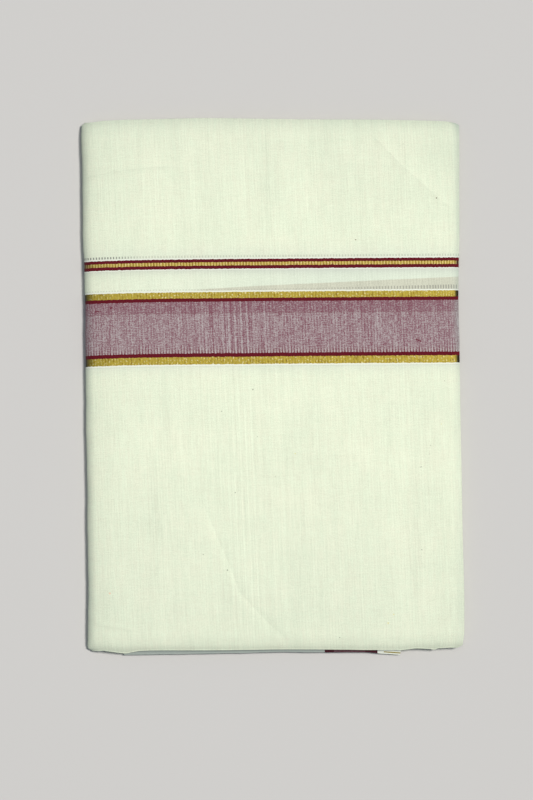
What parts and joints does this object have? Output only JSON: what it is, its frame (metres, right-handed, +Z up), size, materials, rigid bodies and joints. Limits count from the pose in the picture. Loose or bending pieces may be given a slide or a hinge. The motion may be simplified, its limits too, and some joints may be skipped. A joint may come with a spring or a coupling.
{
  "type": "folded dhoti cloth",
  "caption": "Long cotton dhoti cloth folded into a flat rectangular packet, with a round spine fold, layered leaf edges and crosswise border bands.",
  "frame": {"origin": "centre of the packet's flat underside, on the surface it lies on", "axes": "+X across the packet, away from the spine fold; +Y along the packet, away from the tucked-in end; +Z up, out of the display face"},
  "size_m": [0.265, 0.3769, 0.0144],
  "materials": {
    "front_cloth": "unbleached cotton, plain weave, with maroon, mauve and gold thread bands",
    "leaf_cloth": "unbleached cotton, folded edges",
    "end_border": "unbleached cotton with a mauve and gold thread border and a white selvedge",
    "back_cloth": "unbleached cotton, plain weave"
  },
  "bodies": {
    "root": {"front_panel": "front_cloth", "folded_layers": "leaf_cloth", "tucked_end": "end_border", "back_panel": "back_cloth"}
  },
  "joints": []
}
